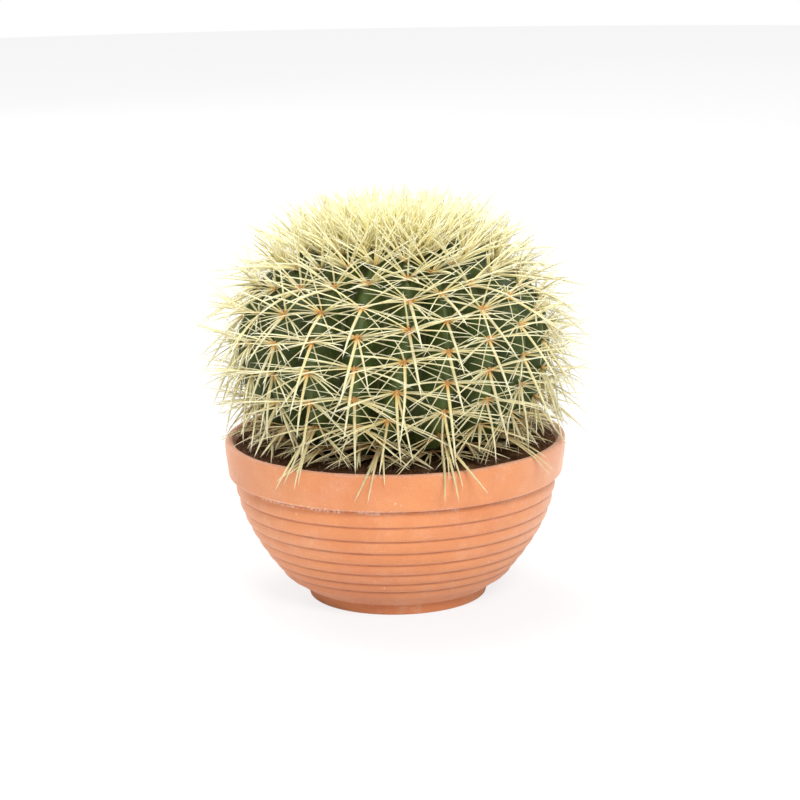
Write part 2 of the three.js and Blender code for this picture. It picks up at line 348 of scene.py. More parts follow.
def soil_finish(name, low, high):
    """Peat or stone, each crumb of its own shade."""
    soil = Finish(name)
    tint = soil.attribute("tint")
    lumps = soil.noise(320, 5, 0.7)
    shade = soil.mix((tint * 0.7 + lumps.between(0.3, 0.7) * 0.4).clamped(), low, high)
    return soil.surface(
        Base_Color=shade, Roughness=0.92, Specular_IOR_Level=0.15,
        Normal=soil.bump(lumps + soil.noise(1400, 2), 0.8 * MM, 0.7),
    )


def stem_skin(sizes):
    """Waxy green skin: painted shade in the valleys, a painted highlight on the crests, corky at the
    base.
    """
    skin = Finish("stem_skin")
    z = skin.axis("Z")
    crest = skin.attribute("crest")
    cloud = skin.noise(28, 4, 0.6).between(0.3, 0.7)
    streaks = skin.noise(60, 4, 0.6, stretch=(1, 1, 0.35), shift=2.0).between(0.3, 0.75)
    flecks = skin.noise(640, 3, 0.7).between(0.56, 0.74)
    # painted shade: the valleys take the darker green, the flanks the plain green
    flank = crest.between(0.02, 0.55) * (cloud * 0.45 + 0.55)
    shade = skin.mix(flank, sizes.shade, sizes.green)
    # painted highlight along the crests, fainter towards the crown
    fainter_towards_crown = z.between(0.285, 0.20) * 0.6 + 0.25
    painted_crest_highlight = crest.between(0.62, 1.0) * (streaks * 0.6 + 0.35) * fainter_towards_crown
    shade = skin.mix(painted_crest_highlight, shade, sizes.crest)
    smears = skin.noise(190, 5, 0.72, shift=8.0).between(0.52, 0.72)
    shade = skin.mix(flecks * 0.3 + smears * 0.22, shade, sizes.fleck)
    dots = skin.cells(330).between(0.13, 0.06) * skin.noise(45, 2, shift=6.0).between(0.46, 0.62)
    shade = skin.mix(dots * 0.6, shade, sizes.dot)
    ragged = z + (skin.noise(55, 5, 0.65, shift=4.0) - 0.5) * 0.034
    cork = ragged.between(0.143, 0.130)
    shade = skin.mix(cork * 0.92, shade, sizes.cork)
    height = skin.noise(420, 4, 0.6) * 0.6 + skin.noise(90, 3) * 0.9 + cork * skin.noise(160, 6, 0.7)
    return skin.surface(
        Base_Color=shade,
        Roughness=0.38 + cork * 0.5 + cloud * 0.10,
        Normal=skin.bump(height, 0.7 * MM, 0.45),
        Specular_IOR_Level=0.24,
    )


def spine_finish(sizes):
    """Horny spines: orange at the foot, straw along the shaft, gold low down partly as painted bounce
    light, browner and with painted shade on the oldest.
    """
    horn = Finish("spine")
    along, age, tint = (horn.attribute(name) for name in ("along", "age", "tint"))
    shade = horn.mix(age.between(0.45, 0.05), sizes.straw, sizes.young)
    # gold low on each spine: partly its own colour, partly painted warm bounce light; the oldest are
    # gold too
    gold_and_painted_bounce = along.between(0.85, 0.1) * (tint * 0.6 + 0.25) + age.between(0.6, 0.95) * 0.4
    shade = horn.mix(gold_and_painted_bounce.clamped(), shade, sizes.gold)
    foot = along.between(0.15, 0.01) * age.between(-0.4, 0.3)
    shade = horn.mix(foot, shade, sizes.base)
    tip = along.between(0.95, 1.0) * 0.2
    shade = horn.mix(tip, shade, sizes.base)
    patches = horn.noise(110, 4, 0.6).between(0.4, 0.65)
    weather = age.between(0.75, 0.92) * (along.between(0.55, 0.05) + patches * 0.6)
    shade = horn.mix((weather * 0.75).clamped(), shade, sizes.old)
    rings = horn.noise(900, 2, 0.6)
    # painted shade: the oldest spines, low on the stem, are darkened
    painted_low_shade = age.between(0.55, 0.95) * 0.18
    shade = horn.scaled(shade, (tint * 0.24 + 0.86 + rings * 0.06) * (1 - painted_low_shade))
    return horn.surface(
        Base_Color=shade,
        Roughness=0.42 + rings * 0.15,
        Normal=horn.bump(rings, 0.25 * MM, 0.4),
        Subsurface_Weight=0.7,
        Subsurface_Radius=(1.0, 1.0, 1.0),
        Subsurface_Scale=0.002,
    )


def felt_finish(name, low, high, scale):
    """Matted plant wool with a deep nap, which goes from high to low as it ages."""
    felt = Finish(name)
    tufts = felt.noise(scale, 5, 0.72)
    darker = felt.attribute("age") * 1.5 + tufts.between(0.3, 0.7) * 0.4
    shade = felt.mix(darker.clamped(), high, low)
    return felt.surface(
        Base_Color=shade,
        Roughness=0.95,
        Normal=felt.bump(tufts + felt.noise(scale * 3, 2), 1.2 * MM, 0.9),
        Sheen_Weight=0.3,
        Sheen_Roughness=0.5,
    )


def paper_finish(sizes):
    """White paper that glows in the camera's view, so that only a faint shadow shows on it."""
    paper = Finish("paper")
    pulp = paper.noise(30, 3).between(0.2, 0.8)
    white = paper.scaled(tuple(sizes.paper), pulp * 0.01 + 0.99)
    matt = paper.principled(Base_Color=white, Roughness=0.9)
    glow = paper.node("ShaderNodeEmission", {}, {"Color": (1, 1, 1)}, "Emission")
    seen = paper.node("ShaderNodeLightPath", output="Is Camera Ray")
    both = paper.node("ShaderNodeMixShader", {}, {0: seen * 0.8, 1: matt, 2: glow}, "Shader")
    return paper.ends(both)


# ---------------- making meshes


def spun(outline, steps):
    """A bmesh turned round Z from (radius, height) points that end on the axis or on the start."""
    bm = bmesh.new()
    points = [bm.verts.new((r, 0, z)) for r, z in outline]
    edges = [bm.edges.new(pair) for pair in zip(points, points[1:])]
    bmesh.ops.spin(
        bm, geom=points + edges, cent=(0, 0, 0), axis=(0, 0, 1), dvec=(0, 0, 0),
        angle=math.tau, steps=steps, use_merge=True, use_duplicate=False,
    )
    bmesh.ops.remove_doubles(bm, verts=bm.verts, dist=1e-6)
    bmesh.ops.recalc_face_normals(bm, faces=bm.faces)
    return bm


def layered(*names):
    """An empty bmesh whose vertices will carry these attributes."""
    bm = bmesh.new()
    for name in names:
        bm.verts.layers.float.new(name)
    return bm


def as_mesh(name, bm):
    """Turns a bmesh into a mesh."""
    mesh = bpy.data.meshes.new(name)
    bm.to_mesh(mesh)
    bm.free()
    return mesh


def piece(name, bm, material, stands_for=()):
    """Turns a bmesh into a smooth object that rides on the root body."""
    mesh = as_mesh(name, bm)
    mesh.materials.append(material)
    mesh.shade_smooth()
    made = bpy.data.objects.new(name, mesh)
    bpy.context.scene.collection.objects.link(made)
    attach(made, "root")
    if stands_for:
        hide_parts(*stands_for)
    return made


def stamp(bm, blank, matrix=None):
    """Adds a copy of a small mesh to a bmesh, and gives its vertices."""
    bm.from_mesh(blank, face_normals=False, vertex_normals=False)
    bm.verts.ensure_lookup_table()
    fresh = bm.verts[-len(blank.vertices):]
    if matrix:
        bmesh.ops.transform(bm, matrix=matrix, verts=fresh)
    return fresh


def arc(centre, radius, start, end, count):
    """Points on an arc in the (radius, height) plane, from one angle in degrees to another."""
    for i in range(count + 1):
        angle = math.radians(start + (end - start) * i / count)
        yield centre[0] + radius * math.cos(angle), centre[1] + radius * math.sin(angle)


def outward(azimuth):
    """The level direction at an azimuth."""
    return Vector((math.sin(azimuth), -math.cos(azimuth), 0))


def scattered(dice, spread):
    """A random vector."""
    return Vector([dice.gauss(0, spread) for _ in range(3)])


def smooth(x, low, high):
    """0 below low, 1 above high, smooth between."""
    t = min(max((x - low) / (high - low), 0), 1)
    return t * t * (3 - 2 * t)


# ---------------- bowl


STEP_HEIGHTS = [v * MM for v in (27.1, 35.5, 45.1, 55.2, 66.1, 77.1, 89.4)]
STEP_OVERHANG = 1 * MM  # how far a step's lip stands out of the smooth side
FLOOR_TOP = 12 * MM  # inside, on the bowl's floor
RECESS = 3.2 * MM  # under the floor, inside the foot ring
INSIDE_HEIGHTS = (121, 112, 103, 90, 76, 62, 50, 38, 28)


def bowl_radius(z):
    """Radius of the bowl's outside, without its steps."""
    low, high = (97.3 * MM, STEP_HEIGHTS[0]), (131.2 * MM, 102.8 * MM)
    up = min(max((z - low[1]) / (high[1] - low[1]), 0), 1)
    return low[0] + (high[0] - low[0]) * math.sin(up * math.pi / 2) ** 0.92


def bowl_outline(sizes):
    """The closed section of the bowl: drain hole, foot, stepped bands, rim band, lip, inside."""
    foot, height, wall = sizes.foot_radius, sizes.foot_height, sizes.wall
    drain, rim, top = sizes.drain_radius, sizes.rim_radius, sizes.height
    yield from [(drain, FLOOR_TOP), (drain, RECESS + 1 * MM), (drain + 1 * MM, RECESS)]
    yield from [(foot - 11 * MM, RECESS), (foot - 9.5 * MM, 0.6 * MM), (foot - 9 * MM, 0)]
    yield from [(foot - 2.4 * MM, 0), (foot - 1.5 * MM, 0.5 * MM), (foot - 1 * MM, 2 * MM)]
    yield from [(foot, height - 1.2 * MM), (foot + 0.3 * MM, height)]
    yield from [(foot + 4 * MM, height + 0.7 * MM), (81.5 * MM, 12 * MM), (88.2 * MM, 16.6 * MM)]
    yield from [(89.2 * MM, 17.6 * MM), (91.0 * MM, 18.2 * MM), (94.7 * MM, 21.6 * MM)]
    lips = [*STEP_HEIGHTS, sizes.band_bottom]
    yield bowl_radius(lips[0]) + STEP_OVERHANG - sizes.step_depth, lips[0] - 1.6 * MM
    for low, high in zip(lips, lips[1:]):
        start = bowl_radius(low) + STEP_OVERHANG
        end = bowl_radius(high) + STEP_OVERHANG - sizes.step_depth
        for i in range(7):
            t = i / 6
            swell = 0.75 * MM * math.sin(math.pi * t ** 0.8)
            yield start + (end - start) * t + swell, low + (high - 1.5 * MM - low) * t
    band = sizes.band_bottom
    edge = rim - 2.6 * MM
    yield from arc((edge - 3 * MM, band + 3 * MM), 3 * MM, -80, 0, 4)
    yield from [(rim - 1.5 * MM, band + 12 * MM), (rim - 0.3 * MM, band + 20 * MM)]
    rounding = 2.9 * MM
    yield from arc((rim - rounding, top - rounding), rounding, 0, 90, 5)
    yield from arc((rim - wall + rounding, top - rounding), rounding, 90, 180, 5)
    for z in INSIDE_HEIGHTS:
        behind_band = 3.5 * MM if z > 100 else 0
        yield bowl_radius(z * MM) - wall + behind_band, z * MM
    yield from [(77 * MM, 18 * MM), (60 * MM, FLOOR_TOP), (drain, FLOOR_TOP)]


class CACTUS_OT_add_bowl(bpy.types.Operator):
    """Turns the terracotta bowl, steps, foot ring and drain hole included"""

    bl_idname = "cactus.add_bowl"
    bl_label = "Add bowl"

    SIDES = 192
    UNROUND = 0.55 * MM  # how far the side strays from round
    WAVY = 0.45 * MM  # and the lip from level

    def execute(self, context):
        sizes = context.scene.cactus_bowl
        bm = spun(list(bowl_outline(sizes)), self.SIDES)
        for v in bm.verts:
            lean = Vector((v.co.x * 9, v.co.y * 9, v.co.z * 24))
            out = Vector((v.co.x, v.co.y, 0)).normalized()
            v.co += out * self.UNROUND * noise.noise(lean)
            if v.co.z > sizes.height - 4 * MM:
                v.co.z += self.WAVY * noise.noise(Vector((v.co.x * 22, v.co.y * 22, 4)))
        bowl = piece("clay_bowl", bm, terracotta(sizes), ["terracotta_bowl"])
        rounding = bowl.modifiers.new("rounded lips", "BEVEL")
        rounding.limit_method = "ANGLE"
        rounding.angle_limit = math.radians(38)
        rounding.width = 0.4 * MM
        rounding.segments = 2
        return {"FINISHED"}


# ---------------- soil


def soil_height(sizes, x, y):
    """Height of the uneven surface at a place."""
    r = math.hypot(x, y)
    mound = sizes.mound * (1 - smooth(r, 0.08, 0.125))
    lumps = noise.fractal(Vector((x * 60, y * 60, 1)), 0.9, 2.1, 4)
    against_the_wall = 1.2 * MM * smooth(r, 0.112, 0.134)
    return sizes.surface + mound + against_the_wall + lumps * 1.9 * MM


class CACTUS_OT_add_soil(bpy.types.Operator):
    """Fills the bowl with potting mix and scatters crumbs and pale grit over it"""

    bl_idname = "cactus.add_soil"
    bl_label = "Add soil"

    SIDES = 224
    RINGS = 44  # in the part of the surface that shows

    def execute(self, context):
        sizes = context.scene.cactus_soil
        bowl = context.scene.cactus_bowl
        inner = bowl.rim_radius - bowl.wall - 1.4 * MM
        top = sizes.surface
        outline = [(0, 14 * MM), (58 * MM, 14 * MM), (75 * MM, 20 * MM), (118 * MM, 62 * MM)]
        outline += [(inner - 4 * MM, top - 20 * MM), (inner, top - 5 * MM)]
        outline += [(inner - i * 1.5 * MM, top) for i in range(self.RINGS)]
        outline += [(55 * MM, top), (0, top)]
        bm = spun(outline, self.SIDES)
        tint = bm.verts.layers.float.new("tint")
        for v in bm.verts:
            if v.co.z > top - 1 * MM:
                v.co.z = soil_height(sizes, v.co.x, v.co.y)
                v[tint] = 0.5 + 0.5 * noise.noise(v.co * 90)
        peat = soil_finish("peat", sizes.peat, sizes.dry_peat)
        stone = soil_finish("grit", sizes.dry_peat, sizes.stone)
        piece("soil_bed", bm, peat, ["potting_soil"])
        self.scatter(sizes, inner, "soil_crumbs", peat, sizes.crumbs, across=(1.0, 3.4), seed=1)
        self.scatter(sizes, inner, "soil_grit", stone, sizes.grit, across=(0.7, 1.9), seed=2)
        return {"FINISHED"}

    def scatter(self, sizes, inner, name, material, count, across, seed):
        """Lays angular grains, their size across in mm, over the ring of soil that shows."""
        dice = random.Random(SEED + seed)
        grain = layered("tint")
        bmesh.ops.create_icosphere(grain, subdivisions=1, radius=0.5)
        blank = as_mesh("grain", grain)
        bm = layered("tint")
        tint = bm.verts.layers.float["tint"]
        for _ in range(count):
            azimuth = dice.uniform(0, math.tau)
            r = math.sqrt(dice.uniform(74 ** 2, (inner / MM - 1) ** 2)) * MM
            x, y = r * math.sin(azimuth), -r * math.cos(azimuth)
            size = dice.uniform(*across) * MM
            spin = dice.uniform(0, math.tau)
            turn = Matrix.Rotation(spin, 4, scattered(dice, 1))
            wide = size * dice.uniform(0.6, 1)
            thick = size * dice.uniform(0.4, 0.8)
            squash = Matrix.Diagonal((size, wide, thick, 1))
            place = Matrix.Translation((x, y, soil_height(sizes, x, y) + size * 0.12))
            shade = dice.random()
            for v in stamp(bm, blank, place @ turn @ squash):
                v.co += scattered(dice, 0.07) * size
                v[tint] = shade
        bpy.data.meshes.remove(blank)
        made = piece(name, bm, material)
        made.data.shade_flat()


# ---------------- stem


class Ribs:
    """The plant's form: where the rib crests run, how deep the valleys are, where areoles sit."""

    SAMPLES = 400
    UNDER, OVER = 2.3, 2.2  # superellipse exponents: 2 is an ellipse, more is boxier
    SOIL_ANGLE = -0.95  # where the crest comes out of the soil
    LEAN = (1.5, 3.6)  # degrees a rib leans at the foot and at the crown
    FRONT_LEAN = (9.5, 3.2)  # and how much more the front rib does
    FRONT_REACH = 0.62  # in ribs: how far that spreads to its neighbours
    SWAY = (0.9, 0.6)  # degrees

    def __init__(self, sizes):
        self.sizes = sizes
        self.points = self.crest(self.SOIL_ANGLE, self.SAMPLES)
        self.along = [0.0]
        for a, b in zip(self.points, self.points[1:]):
            self.along.append(self.along[-1] + (b - a).length)
        self.length = self.along[-1]

    def crest(self, low, steps):
        """Points along the crest, from an angle up to the crown."""
        return [self.outline(low + (math.pi / 2 - low) * i / steps) for i in range(steps + 1)]

    def outline(self, angle):
        """The crest's (radius, height), from below the soil at -90 degrees to the crown at 90."""
        sizes = self.sizes
        power = 2 / (self.UNDER if angle < 0 else self.OVER)
        rise = (-sizes.under if angle < 0 else sizes.over) * abs(math.sin(angle)) ** power
        return Vector((sizes.radius * abs(math.cos(angle)) ** power, sizes.waist + rise))

    def normal(self, r, z):
        """The outward normal of the smooth body, as (radius, height)."""
        sizes = self.sizes
        n, half = (self.UNDER, sizes.under) if z < sizes.waist else (self.OVER, sizes.over)
        dz = z - sizes.waist
        out = (max(r, 1e-6) / sizes.radius) ** (n - 1) / sizes.radius
        up = math.copysign((abs(dz) / half) ** (n - 1) / half, dz)
        return Vector((out, up)).normalized()

    def at(self, s):
        """The crest's (radius, height) at a distance along it from the soil."""
        lo = min(int(s / self.length * self.SAMPLES), self.SAMPLES - 1)
        while lo and self.along[lo] > s:
            lo -= 1
        while lo < self.SAMPLES - 1 and self.along[lo + 1] < s:
            lo += 1
        share = (s - self.along[lo]) / (self.along[lo + 1] - self.along[lo])
        return self.points[lo].lerp(self.points[lo + 1], share)

    def azimuth(self, rib, z):
        """Where a rib, or a place between two, stands at a height: ribs lean and sway a little."""
        sizes = self.sizes
        h = (z - sizes.waist) / sizes.over
        turn = math.tau * rib / sizes.ribs
        from_front = (rib + sizes.ribs / 2) % sizes.ribs - sizes.ribs / 2
        front = math.exp(-((from_front / self.FRONT_REACH) ** 2))
        above = h > 0
        lean = self.LEAN[above] * h + front * (self.FRONT_LEAN[above] * h)
        sway = self.SWAY[0] * math.sin(8 * turn + 1) * h
        sway += self.SWAY[1] * math.sin(5 * turn + 2.2) * math.cos(2 * h)
        return sizes.front + turn + math.radians(lean + sway)

    def first_areole(self, rib):
        """How far up its crest a rib's lowest areole sits: the rows are staggered in a spiral."""
        return self.sizes.pitch * ((rib * 5 / self.sizes.ribs + 0.41) % 1)

    def areoles(self, rib):
        """Distances along a rib's crest of its areoles, which crowd together in the crown."""
        sizes = self.sizes
        s = self.first_areole(rib)
        while s < self.length - 24 * MM:
            yield s
            crowding = smooth(s, 0.7 * self.length, 1.05 * self.length)
            s += sizes.pitch * (1 - 0.5 * crowding)

    def seat(self, rib, s):
        """An areole's place on the skin, with the outward, upward and sideways directions there."""
        r, z = self.at(s)
        nr, nz = self.normal(r, z)
        a = self.azimuth(rib, z)
        radial = outward(a)
        side = Vector((math.cos(a), math.sin(a), 0))
        out = radial * nr + UP * nz
        up = UP * nr - radial * nz
        return radial * r + UP * z, out, up, side

    def valley(self, r, z):
        """Depth of the valleys where the crest is at this radius and height."""
        emerging = 0.5 + 0.5 * smooth(z, 0.128, 0.165)
        return self.sizes.valley * min(r / self.sizes.radius, 1) ** 1.25 * emerging


def rib_share(phase):
    """How far into the valley a place is, from 0 on the crest to 1 in the middle of the valley."""
    across = abs(2 * phase)
    rounding = 0.2
    deep = math.hypot(across, rounding) - rounding
    return (deep / (math.hypot(1, rounding) - rounding)) ** 1.12


class CACTUS_OT_add_stem(bpy.types.Operator):
    """Models the ribbed stem, with a swelling of each crest between two areoles"""

    bl_idname = "cactus.add_stem"
    bl_label = "Add stem"

    COLUMNS = 14  # to each rib
    ROWS = 112
    BOTTOM_ANGLE = -1.22  # where the crest ends, inside the soil
    SWELLING = 1.5 * MM  # of a crest between two areoles

    def execute(self, context):
        sizes = context.scene.cactus_stem
        ribs = Ribs(sizes)
        crest = ribs.crest(self.BOTTOM_ANGLE, self.ROWS)[:-1]
        outline = [(0, 98 * MM), (30 * MM, 104 * MM), *[tuple(p) for p in crest]]
        outline.append((0, sizes.waist + sizes.over))
        bm = spun(outline, sizes.ribs * self.COLUMNS)
        share = bm.verts.layers.float.new("crest")
        rows = [list(ribs.areoles(k)) for k in range(sizes.ribs)]
        for v in bm.verts:
            self.shape(v, ribs, rows, share)
        piece("ribbed_stem", bm, stem_skin(sizes), ["stem"])
        return {"FINISHED"}

    def shape(self, v, ribs, rows, share):
        """Moves a vertex of the smooth body on to its rib."""
        sizes = ribs.sizes
        r, z = math.hypot(v.co.x, v.co.y), v.co.z
        if r < 1e-6:
            v.co.z -= 5 * MM if z > sizes.waist else 0
            return
        rib = (math.atan2(v.co.x, -v.co.y) / math.tau * sizes.ribs) % sizes.ribs
        phase = rib - round(rib)
        deep = rib_share(phase)
        v[share] = 1 - deep
        normal = ribs.normal(r, z)
        hump = self.hump(ribs, rows[round(rib) % sizes.ribs], r, z) * (1 - deep) ** 1.5
        dip = 4 * MM * (1 - smooth(r, 0.006, 0.042)) if z > sizes.waist else 0
        a = ribs.azimuth(rib, z)
        place = Vector((r, z)) - normal * (ribs.valley(r, z) * deep - hump * min(r / 0.08, 1))
        uneven = 0.5 * MM * noise.noise(v.co * 38)
        place += normal * uneven
        v.co = Vector((place.x * math.sin(a), -place.x * math.cos(a), place.y - dip))

    def hump(self, ribs, row, r, z):
        """How much a crest swells here: most between two areoles, nothing at one."""
        s = self.distance(ribs, r, z)
        nearest = min(abs(s - areole) for areole in row)
        return self.SWELLING * smooth(nearest, 1.5 * MM, 8 * MM) if s > 0 else 0

    def distance(self, ribs, r, z):
        """Distance along the crest of a point of the smooth body."""
        sizes = ribs.sizes
        half = sizes.under if z < sizes.waist else sizes.over
        power = (ribs.UNDER if z < sizes.waist else ribs.OVER) / 2
        up = min(abs(z - sizes.waist) / half, 1) ** power
        out = min(r / sizes.radius, 1) ** power
        angle = math.copysign(math.atan2(up, out), z - sizes.waist)
        place = (angle - ribs.SOIL_ANGLE) / (math.pi / 2 - ribs.SOIL_ANGLE) * ribs.SAMPLES
        i = int(min(max(place, 0), ribs.SAMPLES - 1))
        return ribs.along[i] + (ribs.along[i + 1] - ribs.along[i]) * (place - i)


# ---------------- spines


# Height and width of each ring of a spike that is one unit long and one across
SPIKE = [(0.06, 1.0), (0.22, 0.96), (0.4, 0.88), (0.57, 0.77), (0.73, 0.62), (0.88, 0.4), (1.0, 0.05)]
SPINE_LAYERS = ("along", "age", "tint")  # how far up a spine, how old, and its own shade


def spine_blank():
    """A straight spike one unit long and one across, whose along attribute runs from 0 to 1."""
    bm = layered(*SPINE_LAYERS)
    along = bm.verts.layers.float["along"]
    ring = bmesh.ops.create_circle(bm, cap_ends=True, radius=0.5, segments=5)["verts"]
    edges = list({e for v in ring for e in v.link_edges})
    width = 1.0
    for height, across in SPIKE:
        grown = bmesh.ops.extrude_edge_only(bm, edges=edges)["geom"]
        ring = [g for g in grown if isinstance(g, bmesh.types.BMVert)]
        edges = [g for g in grown if isinstance(g, bmesh.types.BMEdge)]
        bmesh.ops.scale(bm, vec=(across / width, across / width, 1), verts=ring)
        for v in ring:
            v.co.z = height
        width = across
    bmesh.ops.pointmerge(bm, verts=ring, merge_co=UP)
    bmesh.ops.recalc_face_normals(bm, faces=bm.faces)
    for v in bm.verts:
        v[along] = v.co.z
    return as_mesh("spine blank", bm)


class Spine:
    """One spine: a spike that leaves its foot along a direction and curves as it goes."""

    def __init__(self, foot, way, long, width, bend, sag, age):
        self.foot, self.way, self.long, self.width = foot, way.normalized(), long, width
        across = bend - self.way * bend.dot(self.way)
        self.bend = across.normalized() if across.length > 1e-6 else self.way.orthogonal().normalized()
        self.sag, self.age = sag, age

    def point(self, t):
        """A point of the spine's middle line, from 0 at the foot to 1 at the tip."""
        return self.foot + (self.way * t + self.bend * self.sag * t * t) * self.long

    def clears(self, bowl, soil_top):
        """True where no part of the spine runs into the soil or the bowl's rim."""
        for i in range(2, 13):
            p = self.point(i / 12)
            r = math.hypot(p.x, p.y)
            if p.z < soil_top and r < bowl.rim_radius - bowl.wall:
                return False
            from_lip = abs(r - bowl.rim_radius + bowl.wall / 2)
            if p.z < bowl.height + 1.2 * MM and from_lip < bowl.wall / 2 + 2 * MM:
                return False
            beside_band = bowl.band_bottom < p.z < bowl.height - 1 * MM
            if beside_band and r < bowl.rim_radius + 1 * MM:
                return False
        return True

    def grow(self, bm, blank, tint):
        """Adds the spine's mesh to a bmesh."""
        layers = bm.verts.layers.float
        age, shade = layers["age"], layers["tint"]
        side = self.way.cross(self.bend)
        for v in stamp(bm, blank):
            x, y, t = v.co
            v.co = self.point(t) + side * (x * self.width) + self.bend * (y * self.width * 0.72)
            v[age], v[shade] = self.age, tint


# Turn from straight up the rib, rise off the skin, both in degrees, and share of the length
STOUT = [(74, 38, 0.98), (86, 32, 1.04), (98, 24, 0.98)]
FINE = [(62, 24, 0.88), (80, 13, 1.0), (106, 13, 1.0), (136, 18, 0.92)]
OVERHANGING = (0, 1, 3, 6, 8, 9, 11, 13, 14, 19)  # ribs with spines over the bowl's rim
LOW = 50 * MM  # below this along the crest, areoles have hanging spines for central ones
OVER_RIM = 17 * MM  # from here up to there, the overhanging ribs' spines pass over the rim
UPTURN = 36  # degrees that young spines rise more


class CACTUS_OT_add_spines(bpy.types.Operator):
    """Sets a cluster of curved spines on every areole, one piece to each rib"""

    bl_idname = "cactus.add_spines"
    bl_label = "Add spines"

    LIFTS = 16  # tries to lift a spine clear

    def execute(self, context):
        scene = context.scene
        self.sizes, self.bowl, self.soil = scene.cactus_spines, scene.cactus_bowl, scene.cactus_soil
        ribs = Ribs(scene.cactus_stem)
        blank = spine_blank()
        horn = spine_finish(self.sizes)
        for rib in range(ribs.sizes.ribs):
            dice = random.Random(SEED * 100 + rib)
            bm = layered(*SPINE_LAYERS)
            for s in ribs.areoles(rib):
                for spine in self.cluster(ribs, rib, s, dice):
                    spine.grow(bm, blank, dice.random())
            number = f"{rib + 1:02d}"
            piece(f"spines_on_rib_{number}", bm, horn, [f"rib_{number}_spines"])
        bpy.data.meshes.remove(blank)
        return {"FINISHED"}

    def cluster(self, ribs, rib, s, dice):
        """The spines of one areole."""
        sizes = self.sizes
        seat, out, up, side = ribs.seat(rib, s)
        radial = Vector((seat.x, seat.y, 0)).normalized()
        youth = smooth(s, 0.48 * ribs.length, 0.86 * ribs.length)
        age = min(max(1 - s / ribs.length, 0), 1)
        foot = seat - out * 0.4 * MM

        def spine(turn, rise, long, width, sag, scatter=6):
            turn = math.radians(turn + dice.gauss(0, scatter))
            rise = math.radians(min(rise + dice.gauss(0, scatter * 0.7) + UPTURN * youth, 85))
            across = up * math.cos(turn) + side * math.sin(turn)
            way = across * math.cos(rise) + out * math.sin(rise)
            start = foot + across * dice.uniform(0.3, 1.4) * MM
            bend = -UP - out * 0.3 + side * dice.gauss(0, 0.35)
            long *= dice.uniform(0.84, 1.1) * (1 - 0.16 * youth)
            width *= 1 + 0.35 * youth
            return Spine(start, way, long, width, bend, sag * dice.uniform(0.3, 1.5), age)

        def hanging(pitch, spread, long):
            pitch = math.radians(pitch + dice.gauss(0, 5))
            lean = dice.gauss(0, spread)
            way = radial * math.cos(pitch) - UP * math.sin(pitch) + side * lean
            long *= dice.uniform(0.6, 1.1) * (1 - 0.4 * min(abs(lean), 1))
            width = sizes.stout * dice.uniform(0.95, 1.35)
            start = foot + side * dice.gauss(0, 1.1) * MM + up * dice.gauss(0, 1.6) * MM
            bend = -UP + side * dice.gauss(0, 0.3)
            return Spine(start, way, long, width, bend, dice.uniform(0.18, 0.34), age)

        made = []
        low = s < LOW
        if low and rib in OVERHANGING and s > OVER_RIM:
            made += [hanging(25, 0.12, sizes.hanging) for _ in range(5)]
        elif low:
            made += [hanging(38, 0.35, sizes.hanging * 0.5) for _ in range(3)]
        else:
            made.append(spine(180, 25, sizes.central, sizes.stout * 1.25, 0.15, 4))
            if dice.random() < 0.5:
                second = dice.choice((160, 200))
                made.append(spine(second, 32, sizes.central * 0.85, sizes.stout * 0.9, 0.2))
        for hand in (1, -1):
            for turn, rise, share in STOUT[1:] if low else STOUT:
                made.append(spine(turn * hand, rise, sizes.lateral * share, sizes.stout * 0.8, 0.15))
            for turn, rise, share in FINE[:2] if low else FINE:
                made.append(spine(turn * hand, rise, sizes.radial * share, sizes.fine, 0.12))
        if dice.random() < 0.2 + youth:
            made.append(spine(0, 50, sizes.lateral * 0.85, sizes.stout * 0.8, 0.15, 14))
        for each in made:
            if self.fit(each, radial):
                yield each

    def fit(self, spine, radial):
        """Lifts a spine clear of the soil and the rim, or halves it; says if it can grow."""
        floor = self.soil.surface + 1 * MM
        for _ in range(self.LIFTS):
            if spine.clears(self.bowl, floor):
                return True
            spine.way = (spine.way + (UP * 0.6 + radial * 0.4) * 0.07).normalized()
            spine.long *= 0.99
        spine.long *= 0.5
        return spine.clears(self.bowl, floor)


class CACTUS_OT_add_felt(bpy.types.Operator):
    """Sets a pad of felt on every areole"""

    bl_idname = "cactus.add_felt"
    bl_label = "Add areole felt"

    PAD = (1.9 * MM, 2.7 * MM, 1.2 * MM)  # half sizes across, along and out of the rib

    def execute(self, context):
        sizes = context.scene.cactus_spines
        ribs = Ribs(context.scene.cactus_stem)
        dice = random.Random(SEED + 5)
        pad = layered("age")
        bmesh.ops.create_icosphere(pad, subdivisions=2, radius=1)
        blank = as_mesh("felt pad", pad)
        bm = layered("age")
        layer = bm.verts.layers.float["age"]
        for rib in range(ribs.sizes.ribs):
            for s in ribs.areoles(rib):
                seat, out, up, side = ribs.seat(rib, s)
                turn = Matrix((side, up, out)).transposed().to_4x4()
                size = Matrix.Diagonal((*self.PAD, 1))
                place = Matrix.Translation(seat + out * 0.2 * MM)
                age = min(max(1.1 - s / ribs.length, 0), 1)
                for v in stamp(bm, blank, place @ turn @ size):
                    v.co += scattered(dice, 0.22 * MM)
                    v[layer] = age
        bpy.data.meshes.remove(blank)
        felt = felt_finish("areole_felt", sizes.felt, sizes.wool, 900)
        piece("areole_felt", bm, felt)
        return {"FINISHED"}


